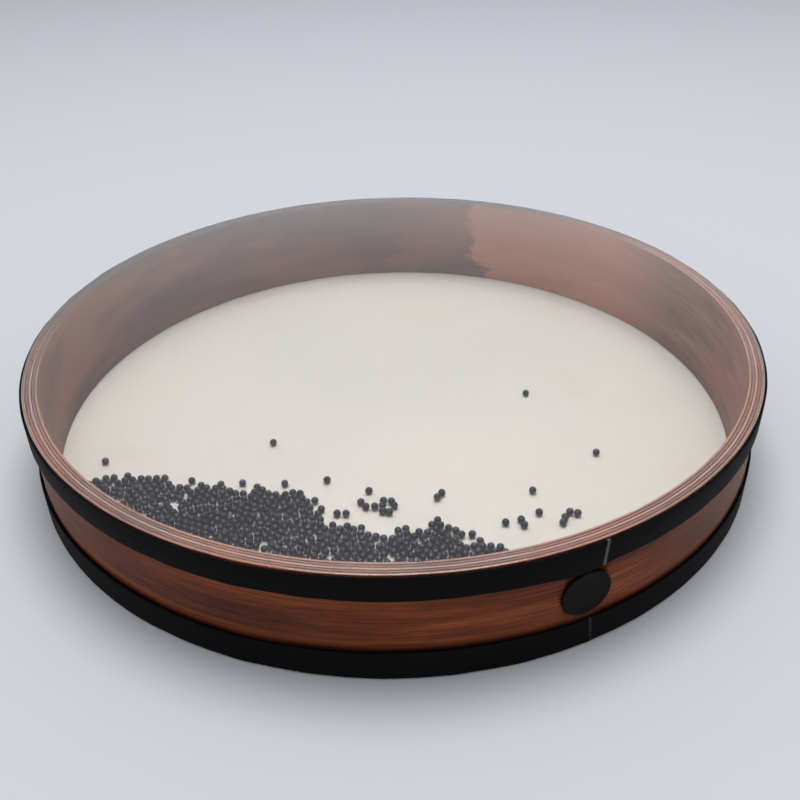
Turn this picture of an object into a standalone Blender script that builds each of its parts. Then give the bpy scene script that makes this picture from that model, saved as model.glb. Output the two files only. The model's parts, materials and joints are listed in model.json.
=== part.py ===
"""A wave drum: a shallow plywood hoop with two film heads, half filled with a thin layer of steel beads.

Metres, +Z up. The origin is the middle of the bottom head's underside, and the filling port faces -Y.
The drum lies flat, and its beads have run to one side of the hoop.
"""

import math

import bmesh
import bpy
from mathutils import Vector

# The hoop: thin plies bent into rings, one inside the other, with a glue line between them.
HOOP_RADIUS = 0.200
HOOP_HEIGHT = 0.058
PLY_COUNT = 5
PLY_THICKNESS = 0.0013
GLUE_LINE = 0.0002
PLY_JOINT_WIDTH = 0.0004
INNER_PLY_JOINT_AZIMUTH = -100.0
PLY_JOINT_STAGGER = 55.0

# The heads: clear film over the top, opaque film under the bottom, each with its edge turned over the hoop.
HEAD_THICKNESS = 0.0003
SEAT_GAP = 0.0003
COLLAR_GAP = 0.0002
COLLAR_HEIGHT = 0.011

# The bands wrapped round the hoop over the turned edges of the heads.
BAND_THICKNESS = 0.0013
BAND_GAP = 0.0002
TOP_BAND_WIDTH = 0.0125
TOP_BAND_INSET = 0.0006
TOP_BAND_JOINT_AZIMUTH = -88.3
BOTTOM_BAND_WIDTH = 0.016
BOTTOM_BAND_INSET = 0.0005
BOTTOM_BAND_JOINT_AZIMUTH = -89.6
BAND_JOINT_WIDTH = 0.0005

# The filling port through the hoop, and the plug pressed into it.
PORT_DIAMETER = 0.020
PORT_HEIGHT = 0.0314
PORT_AZIMUTH = -90.0
PLUG_CLEARANCE = 0.0003
PLUG_HEAD_DIAMETER = 0.024
PLUG_HEAD_THICKNESS = 0.0013
PLUG_HEAD_ROUNDING = 0.0004
PLUG_WALL = 0.0012
PLUG_REACH = 0.0025
PLUG_LEAD_IN = 0.0008

# The beads: one layer of steel balls that lies against the wall, and the few that stayed behind.
BEAD_DIAMETER = 0.004
BEAD_CLEARANCE = 0.0003
HEAP_PITCH_IN_BEADS = 1.5
HEAP_VALLEY_SHARE = 0.6
HEAP_PIECES = 6
PIECE_GAP = 0.00035
# How far the heap reaches in from the wall: azimuth in degrees, reach in metres.
HEAP_REACH = (
    (-184, 0.004),
    (-180, 0.038),
    (-177, 0.056),
    (-170, 0.066),
    (-163, 0.086),
    (-156, 0.091),
    (-147, 0.101),
    (-136, 0.100),
    (-132, 0.086),
    (-118, 0.084),
    (-109, 0.084),
    (-101, 0.089),
    (-97, 0.067),
    (-90, 0.058),
    (-80, 0.034),
    (-72, 0.004),
)
# The beads that lie apart from the heap: azimuth in degrees, distance in from the wall in metres.
LOOSE_BEADS = (
    (173.2, 0.0237),
    (-177.8, 0.1155),
    (-13.8, 0.1107),
    (-46.7, 0.0702),
    (-71.4, 0.0839),
    (-76.6, 0.0695),
    (-85.6, 0.0729),
    (-81.8, 0.0706),
    (-74.9, 0.0564),
    (-70.3, 0.0560),
    (-98.8, 0.1049),
    (-123.4, 0.1128),
    (-141.5, 0.1148),
    (-153.2, 0.1001),
    (-94.9, 0.0720),
    (-130.6, 0.0915),
    (-124.9, 0.1029),
    (-120.0, 0.1005),
    (-117.4, 0.1055),
    (-113.7, 0.1015),
)
# Beads that touch one of those: its number in the list above, and the bearing to this one in degrees.
TOUCHING_BEADS = (
    (9, 44),
    (11, 30),
)

FACETS = 72
PORT_FACETS = 28
FULL_TURN = 2 * math.pi
SHARP_ANGLE = math.radians(30)
CUTTER_OVERLAP = 0.004

# Radii and heights that follow from the sizes above.
PLY_PITCH = PLY_THICKNESS + GLUE_LINE
WALL_RADIUS = HOOP_RADIUS - PLY_COUNT * PLY_THICKNESS - (PLY_COUNT - 1) * GLUE_LINE
COLLAR_INNER = HOOP_RADIUS + COLLAR_GAP
COLLAR_OUTER = COLLAR_INNER + HEAD_THICKNESS
BAND_INNER = COLLAR_OUTER + BAND_GAP
BAND_OUTER = BAND_INNER + BAND_THICKNESS
HOOP_BOTTOM = HEAD_THICKNESS + SEAT_GAP
HOOP_TOP = HOOP_BOTTOM + HOOP_HEIGHT
TOP_HEAD_BOTTOM = HOOP_TOP + SEAT_GAP
DRUM_HEIGHT = TOP_HEAD_BOTTOM + HEAD_THICKNESS
BEAD_RADIUS = BEAD_DIAMETER / 2
BEAD_FLOOR = HEAD_THICKNESS + BEAD_CLEARANCE
HEAP_RADIUS = WALL_RADIUS * math.cos(FULL_TURN / FACETS / 2) - BEAD_CLEARANCE
HEAP_PITCH = HEAP_PITCH_IN_BEADS * BEAD_DIAMETER
RIM_ROOM = 0.12 * HEAP_PITCH
RIM_STRETCH = 0.6 * HEAP_PITCH
PORT_DIRECTION = math.radians(PORT_AZIMUTH)


def clear_scene():
    for item in list(bpy.data.objects):
        bpy.data.objects.remove(item, do_unlink=True)


def linear(level):
    """One sRGB level from 0 to 255 as the linear value that a shader takes."""
    share = level / 255
    if share <= 0.04045:
        return share / 12.92
    return ((share + 0.055) / 1.055) ** 2.4


def make_material(name, srgb, roughness, metallic=0.0, alpha=1.0):
    material = bpy.data.materials.new(name)
    material.use_nodes = True
    shader = material.node_tree.nodes["Principled BSDF"]
    colour = [linear(level) for level in srgb]
    shader.inputs["Base Color"].default_value = (*colour, 1.0)
    shader.inputs["Roughness"].default_value = roughness
    shader.inputs["Metallic"].default_value = metallic
    shader.inputs["Alpha"].default_value = alpha
    material.diffuse_color = (*colour, alpha)
    return material


def object_from(bm, name, material):
    """A smooth-shaded object from a bmesh, with its faces turned outwards."""
    bmesh.ops.recalc_face_normals(bm, faces=bm.faces)
    mesh = bpy.data.meshes.new(name)
    bm.to_mesh(mesh)
    bm.free()
    mesh.shade_smooth()
    mesh.set_sharp_from_angle(angle=SHARP_ANGLE)
    mesh.materials.append(material)
    made = bpy.data.objects.new(name, mesh)
    bpy.context.scene.collection.objects.link(made)
    return made


def around(radius, azimuth, height=0.0):
    return Vector((radius * math.cos(azimuth), radius * math.sin(azimuth), height))


def ring_azimuths(joint_azimuth, joint_width, radius):
    """The azimuths of a ring's cross-sections, from one end of its butt joint round to the other."""
    half = joint_width / 2 / radius
    joint = math.radians(joint_azimuth)
    offsets = [(FULL_TURN * k / FACETS - joint) % FULL_TURN for k in range(FACETS)]
    kept = sorted(offset for offset in offsets if half < offset < FULL_TURN - half)
    return [joint + offset for offset in (half, *kept, FULL_TURN - half)]


def ring_from(sections, is_closed, name, material):
    """A ring through four-cornered cross-sections, joined up end to end or capped at both ends."""
    bm = bmesh.new()
    loops = [[bm.verts.new(corner) for corner in section] for section in sections]
    pairs = list(zip(loops, loops[1:]))
    if is_closed:
        pairs.append((loops[-1], loops[0]))
    else:
        bm.faces.new(loops[0])
        bm.faces.new(loops[-1])
    for here, there in pairs:
        for k in range(4):
            after = (k + 1) % 4
            bm.faces.new((here[k], here[after], there[after], there[k]))
    return object_from(bm, name, material)


def ring_section(inner, outer, low, high, azimuth):
    return [
        around(inner, azimuth, low),
        around(outer, azimuth, low),
        around(outer, azimuth, high),
        around(inner, azimuth, high),
    ]


def make_closed_ring(name, inner, outer, low, high, material):
    azimuths = [FULL_TURN * k / FACETS for k in range(FACETS)]
    sections = [ring_section(inner, outer, low, high, azimuth) for azimuth in azimuths]
    return ring_from(sections, True, name, material)


def make_bent_strip(name, inner, outer, low, high, joint_azimuth, joint_width, material):
    """A strip bent into a ring, whose ends meet in a butt joint with a hairline between them."""
    azimuths = ring_azimuths(joint_azimuth, joint_width, outer)
    sections = [ring_section(inner, outer, low, high, azimuth) for azimuth in azimuths]
    return ring_from(sections, False, name, material)


def make_disc(name, radius, low, thickness, material):
    bm = bmesh.new()
    bmesh.ops.create_cone(
        bm, cap_ends=True, segments=FACETS, radius1=radius, radius2=radius, depth=thickness
    )
    bmesh.ops.translate(bm, verts=bm.verts, vec=(0, 0, low + thickness / 2))
    return object_from(bm, name, material)


def make_turned(name, profile, facets, material):
    """A solid turned about its local Z axis: (radius, height) pairs whose two ends lie on the axis."""
    bm = bmesh.new()
    rows = []
    for radius, height in profile:
        if radius == 0:
            rows.append([bm.verts.new((0, 0, height))])
        else:
            turn = [FULL_TURN * k / facets for k in range(facets)]
            rows.append([bm.verts.new(around(radius, azimuth, height)) for azimuth in turn])
    for here, there in zip(rows, rows[1:]):
        for k in range(facets):
            after = (k + 1) % facets
            corners = [here[k % len(here)], here[after % len(here)]]
            corners += [there[after % len(there)], there[k % len(there)]]
            bm.faces.new(list(dict.fromkeys(corners)))
    return object_from(bm, name, material)


def face_outwards(item, height):
    """Stands a turned piece on the hoop's outer face at the port, with its local Z pointing outwards."""
    item.location = around(HOOP_RADIUS, PORT_DIRECTION, height)
    item.rotation_euler = (math.pi / 2, 0, PORT_DIRECTION + math.pi / 2)


def make_port_cutter():
    """The drill that leaves the port: longer than the wall at both ends, and kept out of the model."""
    radius = PORT_DIAMETER / 2
    depth = HOOP_RADIUS - WALL_RADIUS + CUTTER_OVERLAP
    profile = [(0, CUTTER_OVERLAP), (radius, CUTTER_OVERLAP), (radius, -depth), (0, -depth)]
    cutter = make_turned("port_cutter", profile, PORT_FACETS, materials["black_rubber"])
    face_outwards(cutter, PORT_HEIGHT)
    cutter.hide_render = True
    cutter.display_type = "WIRE"
    return cutter


def cut_port(ply, cutter):
    cut = ply.modifiers.new("port", "BOOLEAN")
    cut.operation = "DIFFERENCE"
    cut.solver = "EXACT"
    cut.object = cutter


def make_hoop(cutter):
    """The plies from the outside in, with their butt joints staggered round the hoop."""
    for number in range(PLY_COUNT):
        outer = HOOP_RADIUS - number * PLY_PITCH
        inner = outer - PLY_THICKNESS
        turns_from_inner = PLY_COUNT - 1 - number
        joint_azimuth = INNER_PLY_JOINT_AZIMUTH + turns_from_inner * PLY_JOINT_STAGGER
        is_face = number in (0, PLY_COUNT - 1)
        material = materials["stained_wood" if is_face else "core_wood"]
        ply = make_bent_strip(
            f"hoop_ply_{number + 1}",
            inner,
            outer,
            HOOP_BOTTOM,
            HOOP_TOP,
            joint_azimuth,
            PLY_JOINT_WIDTH,
            material,
        )
        cut_port(ply, cutter)


def make_heads():
    """Each head's flat film, and the collar where its edge is turned over the hoop."""
    make_disc("bottom_head", COLLAR_OUTER, 0, HEAD_THICKNESS, materials["ivory_film"])
    make_disc("top_head", COLLAR_OUTER, TOP_HEAD_BOTTOM, HEAD_THICKNESS, materials["clear_film"])
    make_closed_ring(
        "bottom_head_collar",
        COLLAR_INNER,
        COLLAR_OUTER,
        HOOP_BOTTOM,
        HOOP_BOTTOM + COLLAR_HEIGHT,
        materials["ivory_film"],
    )
    make_closed_ring(
        "top_head_collar",
        COLLAR_INNER,
        COLLAR_OUTER,
        HOOP_TOP - COLLAR_HEIGHT,
        HOOP_TOP,
        materials["clear_film"],
    )


def make_bands():
    top_high = DRUM_HEIGHT - TOP_BAND_INSET
    make_bent_strip(
        "top_band",
        BAND_INNER,
        BAND_OUTER,
        top_high - TOP_BAND_WIDTH,
        top_high,
        TOP_BAND_JOINT_AZIMUTH,
        BAND_JOINT_WIDTH,
        materials["black_band"],
    )
    make_bent_strip(
        "bottom_band",
        BAND_INNER,
        BAND_OUTER,
        BOTTOM_BAND_INSET,
        BOTTOM_BAND_INSET + BOTTOM_BAND_WIDTH,
        BOTTOM_BAND_JOINT_AZIMUTH,
        BAND_JOINT_WIDTH,
        materials["black_band"],
    )


def make_plug():
    """A flanged cup: a flat head on the hoop's outer face, and a hollow skirt through the port."""
    head = PLUG_HEAD_DIAMETER / 2
    skirt = PORT_DIAMETER / 2 - PLUG_CLEARANCE
    bore = skirt - PLUG_WALL
    under = PLUG_CLEARANCE
    face = under + PLUG_HEAD_THICKNESS
    tip = -(HOOP_RADIUS - WALL_RADIUS + PLUG_REACH)
    profile = [
        (0, face),
        (head - PLUG_HEAD_ROUNDING, face),
        (head, face - PLUG_HEAD_ROUNDING),
        (head, under),
        (skirt, under),
        (skirt, tip + PLUG_LEAD_IN),
        (skirt - PLUG_LEAD_IN / 2, tip),
        (bore, tip),
        (bore, under - PLUG_WALL),
        (0, under - PLUG_WALL),
    ]
    plug = make_turned("port_plug", profile, PORT_FACETS, materials["black_rubber"])
    face_outwards(plug, PORT_HEIGHT)


def loose_places():
    """The middles of the loose beads, as seen from above."""
    places = [around(WALL_RADIUS - inset, math.radians(azimuth)) for azimuth, inset in LOOSE_BEADS]
    spacing = BEAD_DIAMETER + BEAD_CLEARANCE
    for number, bearing in TOUCHING_BEADS:
        places.append(places[number - 1] + around(spacing, math.radians(bearing)))
    return places


def heap_reach(azimuth):
    """The heap's reach in from the wall at an azimuth in degrees, or None beyond its two ends."""
    for (start, low), (end, high) in zip(HEAP_REACH, HEAP_REACH[1:]):
        if start <= azimuth <= end:
            return low + (high - low) * (azimuth - start) / (end - start)
    return None


def heap_cells(places):
    """The bumps of the heap as (column, row) of a honeycomb, each with the number of its heap piece.

    A bump is kept where its middle lies between the wall and the heap's edge, clear of every loose bead.
    """
    corner = HEAP_PITCH / math.sqrt(3)
    room = corner + BEAD_RADIUS + BEAD_CLEARANCE
    first, last = HEAP_REACH[0][0], HEAP_REACH[-1][0]
    most = int(2 * WALL_RADIUS / HEAP_PITCH)
    cells = {}
    for row in range(-most, most):
        for column in range(-most, most):
            middle = cell_middle(column, row)
            azimuth = math.degrees(math.atan2(middle.y, middle.x))
            if azimuth > last:
                azimuth -= 360
            reach = heap_reach(azimuth)
            if reach is None or middle.length > HEAP_RADIUS - RIM_ROOM:
                continue
            if middle.length < WALL_RADIUS - reach:
                continue
            if any((middle - place).length < room for place in places):
                continue
            cells[column, row] = int(HEAP_PIECES * (azimuth - first) / (last - first + 1e-9))
    return cells


def cell_middle(column, row):
    across = HEAP_PITCH * (column + (row % 2) / 2)
    return Vector((across, HEAP_PITCH * row * math.sqrt(3) / 2, 0))


def cell_corners(column, row):
    """The six corners of a honeycomb cell. Corners near the wall are carried out to the heap's rim."""
    corners = []
    for k in range(6):
        spoke = around(HEAP_PITCH / math.sqrt(3), FULL_TURN * (k + 0.5) / 6)
        corner = cell_middle(column, row) + spoke
        if corner.length > HEAP_RADIUS - RIM_STRETCH:
            corner *= HEAP_RADIUS / corner.length
        corners.append(corner)
    return corners


def corner_key(corner):
    return round(corner.x * 1e5), round(corner.y * 1e5)


def largest_cluster(cells):
    """The biggest group of cells that share sides, so that a heap piece is one body."""
    left = set(cells)
    best = set()
    while left:
        group = {left.pop()}
        edge = set(group)
        while edge:
            beside = set()
            for column, row in edge:
                lean = row % 2
                steps = ((1, 0), (-1, 0), (lean, 1), (lean - 1, 1), (lean, -1), (lean - 1, -1))
                beside |= {(column + x, row + y) for x, y in steps}
            edge = beside & left
            left -= edge
            group |= edge
        if len(group) > len(best):
            best = group
    return best


def make_heap_piece(name, cells, material):
    """One closed body: a six-sided peak for every bump, a skirt round the outside, and a flat bottom."""
    bm = bmesh.new()
    peak_height = BEAD_FLOOR + BEAD_DIAMETER
    valley_height = BEAD_FLOOR + HEAP_VALLEY_SHARE * BEAD_DIAMETER
    middles_at = {}
    places = {}
    for cell in cells:
        for corner in cell_corners(*cell):
            key = corner_key(corner)
            places[key] = corner
            middles_at.setdefault(key, []).append(cell_middle(*cell))
    tops = {}
    bottoms = {}
    for key, corner in places.items():
        here = corner
        if len(middles_at[key]) < 3:
            pull = sum(middles_at[key], Vector()) / len(middles_at[key]) - corner
            here = corner + pull.normalized() * PIECE_GAP / math.sqrt(3)
        tops[key] = bm.verts.new(here + Vector((0, 0, valley_height)))
        bottoms[key] = bm.verts.new(here + Vector((0, 0, BEAD_FLOOR)))
    for cell in cells:
        keys = [corner_key(corner) for corner in cell_corners(*cell)]
        peak = bm.verts.new(cell_middle(*cell) + Vector((0, 0, peak_height)))
        for k in range(6):
            bm.faces.new((tops[keys[k]], tops[keys[(k + 1) % 6]], peak))
        bm.faces.new([bottoms[key] for key in keys])
    for edge in [edge for edge in bm.edges if edge.is_boundary]:
        if edge.verts[0].co.z < valley_height:
            continue
        low = [bottom_of(vertex, tops, bottoms) for vertex in edge.verts]
        bm.faces.new((edge.verts[0], edge.verts[1], low[1], low[0]))
    floor = [face for face in bm.faces if all(v.co.z < valley_height for v in face.verts)]
    floor_edges = {edge for face in floor for edge in face.edges if not is_rim(edge, floor)}
    bmesh.ops.dissolve_edges(bm, edges=list(floor_edges), use_verts=True)
    return object_from(bm, name, material)


def bottom_of(vertex, tops, bottoms):
    for key, top in tops.items():
        if top is vertex:
            return bottoms[key]
    return None


def is_rim(edge, floor):
    return sum(face in floor for face in edge.link_faces) < 2


def make_beads():
    """The heap and the loose beads, all carried round together by the swirl about the drum's own axis."""
    swirl = bpy.data.objects.new("bead_swirl_axis", None)
    bpy.context.scene.collection.objects.link(swirl)
    places = loose_places()
    cells = heap_cells(places)
    for number in range(HEAP_PIECES):
        own = largest_cluster([cell for cell, piece in cells.items() if piece == number])
        heap = make_heap_piece(f"bead_heap_{number + 1}", own, materials["bead_steel"])
        heap.parent = swirl
    for number, place in enumerate(places, start=1):
        bm = bmesh.new()
        bmesh.ops.create_icosphere(bm, subdivisions=2, radius=BEAD_RADIUS)
        bead = object_from(bm, f"loose_bead_{number:02d}", materials["bead_steel"])
        bead.location = (place.x, place.y, BEAD_FLOOR + BEAD_RADIUS)
        bead.parent = swirl


clear_scene()
materials = {
    "stained_wood": make_material("stained_wood", (92, 52, 38), 0.45),
    "core_wood": make_material("core_wood", (150, 128, 118), 0.6),
    "clear_film": make_material("clear_film", (236, 238, 240), 0.12, alpha=0.15),
    "ivory_film": make_material("ivory_film", (217, 213, 206), 0.5),
    "black_band": make_material("black_band", (16, 16, 18), 0.6),
    "black_rubber": make_material("black_rubber", (17, 17, 19), 0.45),
    "bead_steel": make_material("bead_steel", (96, 98, 104), 0.3, metallic=1.0),
}
port_cutter = make_port_cutter()
make_hoop(port_cutter)
make_heads()
make_bands()
make_plug()
make_beads()
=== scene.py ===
# %% [markdown]
# # An ocean drum, piece by piece
# The drum is a shallow hoop of thin wood with a clear film stretched over the top and an ivory film under
# the bottom. Small steel balls roll between them and sound like surf. The solids of the drum come from
# its construction file and stay where they are. This lesson gives each of them the surface that the eye
# sees.
# %% Load the construction
import json
import math

import bmesh
import bpy
import numpy as np
from mathutils import Matrix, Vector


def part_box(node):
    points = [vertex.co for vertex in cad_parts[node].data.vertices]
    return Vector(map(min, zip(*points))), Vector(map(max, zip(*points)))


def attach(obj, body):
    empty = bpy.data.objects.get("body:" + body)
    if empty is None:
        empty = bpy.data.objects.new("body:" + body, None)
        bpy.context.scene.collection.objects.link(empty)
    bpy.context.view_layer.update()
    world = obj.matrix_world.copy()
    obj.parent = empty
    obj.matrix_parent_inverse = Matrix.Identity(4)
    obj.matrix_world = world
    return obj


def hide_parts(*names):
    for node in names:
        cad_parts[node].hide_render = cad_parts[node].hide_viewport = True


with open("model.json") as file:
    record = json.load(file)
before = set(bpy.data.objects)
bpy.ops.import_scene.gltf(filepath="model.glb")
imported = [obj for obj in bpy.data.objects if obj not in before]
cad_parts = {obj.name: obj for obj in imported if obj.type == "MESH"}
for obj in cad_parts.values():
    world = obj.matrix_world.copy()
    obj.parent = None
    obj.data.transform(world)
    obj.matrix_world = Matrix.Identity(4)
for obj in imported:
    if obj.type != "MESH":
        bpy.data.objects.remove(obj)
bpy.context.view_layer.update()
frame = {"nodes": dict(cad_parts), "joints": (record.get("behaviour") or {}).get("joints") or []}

# %% [markdown]
# ## Sizes
# Every size is read from the solids, so a new surface always sits where its solid sits. Only what the solids
# can't tell, such as the glue line or how far an edge wanders, is given as a number.
# %% Read the drum's sizes
FULL_TURN = 2 * math.pi
GLUE_LINE = 0.0002
BAND_RADIUS = float(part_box("top_band")[1][0])
HOOP_RADIUS = float(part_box("hoop_ply_1")[1][0])
PLY_PITCH = HOOP_RADIUS - float(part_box("hoop_ply_2")[1][0])
PLY_THICKNESS = PLY_PITCH - GLUE_LINE
WALL_RADIUS = float(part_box("hoop_ply_5")[1][0]) - PLY_THICKNESS
FILM_RADIUS = float(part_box("top_head")[1][0])
HOOP_LOW = float(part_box("hoop_ply_1")[0][2])
HOOP_HIGH = float(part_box("hoop_ply_1")[1][2])
DRUM_HEIGHT = float(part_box("top_head")[1][2])
FILM = float(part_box("bottom_head")[1][2])
MIDDLE_HEIGHT = DRUM_HEIGHT / 2
print(
    f"hoop {2000 * HOOP_RADIUS:.0f} mm across and {1000 * DRUM_HEIGHT:.1f} mm high,"
    f" wall {1000 * (HOOP_RADIUS - WALL_RADIUS):.1f} mm")

# %% [markdown]
# ## Camera
# The camera stands low in front of the drum, a little to the left of the filling port, and looks down at
# about thirty degrees. It could be dragged into place by hand or aimed by a Track To constraint. Here it
# is placed on a circle round the drum's middle and then turned by three small angles, which is how one
# frames a subject, and which gives the same view on every run.
# %% Place the camera
CAMERA_DISTANCE = 2.6374 * BAND_RADIUS
CAMERA_AZIMUTH = math.radians(-112.8)
CAMERA_ELEVATION = 0.5472
CAMERA_PAN = 0.0062
CAMERA_TILT = -0.0341
CAMERA_ROLL = -0.0244
SENSOR_WIDTH = 36.0
FOCAL_LENGTH = 40.81


def turn_about(axis, angle):
    """A 3 by 3 turn that keeps one axis and swings the other two."""
    first, second = [k for k in range(3) if k != axis]
    turn = np.eye(3)
    turn[first, first] = turn[second, second] = math.cos(angle)
    turn[first, second] = -math.sin(angle)
    turn[second, first] = math.sin(angle)
    return turn


def place_camera():
    """Right, up and forward are the rows of the view: forward points at the drum, right is level."""
    level = math.cos(CAMERA_ELEVATION)
    outwards = np.array([
        math.cos(CAMERA_AZIMUTH) * level,
        math.sin(CAMERA_AZIMUTH) * level,
        math.sin(CAMERA_ELEVATION),
    ])
    forward = -outwards
    right = np.array([-math.sin(CAMERA_AZIMUTH), math.cos(CAMERA_AZIMUTH), 0.0])
    rows = np.stack([right, np.cross(right, forward), forward])
    # Pan swings right against forward, tilt swings up against forward, and roll swings right against up.
    rows = turn_about(1, CAMERA_PAN) @ rows
    rows = turn_about(0, CAMERA_TILT) @ rows
    rows = turn_about(2, -CAMERA_ROLL) @ rows
    camera = bpy.data.objects.new("camera", bpy.data.cameras.new("camera"))
    camera.data.sensor_width = SENSOR_WIDTH
    camera.data.lens = FOCAL_LENGTH
    matrix = np.eye(4)
    matrix[:3, :3] = np.stack([rows[0], rows[1], -rows[2]], axis=1)
    matrix[:3, 3] = outwards * CAMERA_DISTANCE + np.array([0.0, 0.0, MIDDLE_HEIGHT])
    camera.matrix_world = Matrix(matrix.tolist())
    bpy.context.scene.collection.objects.link(camera)
    bpy.context.scene.camera = camera
    return camera


camera = place_camera()
print("camera at", [round(float(value), 3) for value in camera.matrix_world.translation])

# %% [markdown]
# ## Surfaces from numbers
# Nearly everything on this drum is round, so most pieces are rings: a closed outline carried once round
# the hoop. A Screw or Bevel modifier could turn an outline too, but then every step round the hoop would
# be the same. Worked out as whole arrays, the outline may change a little on the way, which gives wavy
# edges and nicks. The UV map of a ring is in metres, along the hoop and round the outline.
# %% Helpers for meshes
SHARP_ANGLE = math.radians(35)


def add_mesh(name, points, faces, uv=None):
    """An object at the origin from an array of points, a list of faces and a UV place for each corner."""
    mesh = bpy.data.meshes.new(name)
    mesh.from_pydata(points.reshape(-1, 3).tolist(), [], faces)
    if uv is not None:
        layer = mesh.uv_layers.new(name="along_and_across")
        layer.data.foreach_set("uv", uv.reshape(-1).astype(np.float32))
    mesh.shade_smooth()
    piece = bpy.data.objects.new(name, mesh)
    bpy.context.scene.collection.objects.link(piece)
    return piece


def ring(name, radius, height):
    """A closed outline carried round the Z axis.

    radius and height are arrays of azimuth steps by outline points. A point is (radius cos azimuth,
    radius sin azimuth, height). The outline runs anticlockwise when seen with the axis on its left.
    """
    steps, count = radius.shape
    azimuth = FULL_TURN * np.arange(steps)[:, None] / steps - math.pi
    points = np.stack([radius * np.cos(azimuth), radius * np.sin(azimuth), height], axis=-1)
    row, column = np.meshgrid(np.arange(steps), np.arange(count), indexing="ij")
    here = row * count + column
    beside = row * count + (column + 1) % count
    after = (row + 1) % steps * count + column
    after_beside = (row + 1) % steps * count + (column + 1) % count
    faces = np.stack([here, after, after_beside, beside], axis=-1).reshape(-1, 4)
    along = FULL_TURN * HOOP_RADIUS / steps
    lengths = np.hypot(np.diff(radius[0], append=radius[0, :1]), np.diff(height[0], append=height[0, :1]))
    across = np.concatenate([[0.0], np.cumsum(lengths)])
    u = np.stack([row, row + 1, row + 1, row], axis=-1) * along
    v = np.stack([across[column], across[column], across[column + 1], across[column + 1]], axis=-1)
    piece = add_mesh(name, points, faces.tolist(), np.stack([u, v], axis=-1))
    piece.data.set_sharp_from_angle(angle=SHARP_ANGLE)
    return piece


def turned(name, profile, steps, sharp_angle=SHARP_ANGLE):
    """A profile of (radius, height) turned about Z, whose first and last points lie on the axis.

    A point is (radius cos azimuth, radius sin azimuth, height). Fans of triangles close both ends.
    """
    profile = np.asarray(profile, float)
    inner = profile[1:-1]
    count = len(inner)
    azimuth = FULL_TURN * np.arange(steps)[:, None] / steps
    body = np.stack([
        inner[:, 0] * np.cos(azimuth),
        inner[:, 0] * np.sin(azimuth),
        np.broadcast_to(inner[:, 1], (steps, count)),
    ], axis=-1).reshape(-1, 3)
    poles = np.array([[0, 0, profile[0, 1]], [0, 0, profile[-1, 1]]])
    start = np.arange(steps) * count
    next_start = (np.arange(steps) + 1) % steps * count
    here = start[:, None] + np.arange(count - 1)
    after = next_start[:, None] + np.arange(count - 1)
    quads = np.stack([here, here + 1, after + 1, after], axis=-1).reshape(-1, 4)
    pole = np.full(steps, len(body))
    first_fan = np.stack([pole, start, next_start], axis=-1)
    last_fan = np.stack([pole + 1, next_start + count - 1, start + count - 1], axis=-1)
    faces = quads.tolist() + first_fan.tolist() + last_fan.tolist()
    piece = add_mesh(name, np.concatenate([body, poles]), faces)
    piece.data.set_sharp_from_angle(angle=sharp_angle)
    return piece


def waves(azimuth, seed, sizes):
    """A smooth wandering line round the hoop: a sum of sines, each given as (whole waves, height)."""
    phases = np.random.default_rng(seed).uniform(0, FULL_TURN, len(sizes))
    return sum(height * np.sin(count * azimuth + phase) for (count, height), phase in zip(sizes, phases))


print("helpers for a mesh from arrays, a ring, a turned profile and a wandering line")

# %% [markdown]
# ## Materials from nodes
# Each material is a Principled shader with a few textures in front of it. Such a tree could be wired by
# hand in the Shader editor. In a script, one helper adds a node and joins it up in a single line, so that
# a material reads as a recipe.
# %% Helpers for materials


def linear(red, green, blue):
    """sRGB levels from 0 to 255 as the linear colour that a shader takes."""
    share = np.array([red, green, blue]) / 255
    values = np.where(share <= 0.04045, share / 12.92, ((share + 0.055) / 1.055) ** 2.4)
    return (*[float(value) for value in values], 1.0)


def new_material(name, **sockets):
    """A material and its tree, with constant values set on the Principled shader's own sockets."""
    material = bpy.data.materials.new(name)
    material.use_nodes = True
    shader = material.node_tree.nodes["Principled BSDF"]
    for socket, value in sockets.items():
        shader.inputs[socket.replace("_", " ")].default_value = value
    return material, material.node_tree, shader


def add(tree, kind, inputs=None, **settings):
    """One node. inputs maps a socket's name or number to a value, or to another node's output to join."""
    made = tree.nodes.new(kind)
    for name, value in settings.items():
        setattr(made, name, value)
    for socket, value in (inputs or {}).items():
        if isinstance(value, bpy.types.NodeSocket):
            tree.links.new(value, made.inputs[socket])
        else:
            made.inputs[socket].default_value = value
    return made


def stretched_noise(tree, coordinates, scale, detail, roughness, shift=(0, 0, 0)):
    """Noise on coordinates that are stretched by a scale for each axis, as grain is along a board."""
    mapping = add(tree, "ShaderNodeMapping", {"Vector": coordinates, "Scale": scale, "Location": shift})
    noise = add(tree, "ShaderNodeTexNoise", {
        "Vector": mapping.outputs[0], "Scale": 1.0, "Detail": detail, "Roughness": roughness})
    return noise.outputs["Fac"]


def ramp(tree, value, stops):
    """Colours by value: each stop is (position, colour)."""
    made = add(tree, "ShaderNodeValToRGB", {"Fac": value})
    elements = made.color_ramp.elements
    while len(elements) < len(stops):
        elements.new(0.5)
    for element, (position, colour) in zip(elements, stops):
        element.position = position
        element.color = colour
    return made.outputs["Color"]


def fade(tree, value, start, end):
    """0 at start, 1 at end, and smooth between them."""
    made = add(tree, "ShaderNodeMapRange", {
        "Value": value, "From Min": start, "From Max": end}, interpolation_type="SMOOTHSTEP")
    return made.outputs["Result"]


def mix(tree, factor, first, second, blend="MIX"):
    """Two colours mixed by a factor."""
    made = add(tree, "ShaderNodeMix", {0: factor, 6: first, 7: second}, data_type="RGBA", blend_type=blend)
    return made.outputs[2]


def maths(tree, operation, first, second=0.0):
    """What an operation, such as ADD or ABSOLUTE, makes of one or two values."""
    return add(tree, "ShaderNodeMath", {0: first, 1: second}, operation=operation).outputs[0]


def times(tree, first, second):
    """The product of two values."""
    return maths(tree, "MULTIPLY", first, second)


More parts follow.
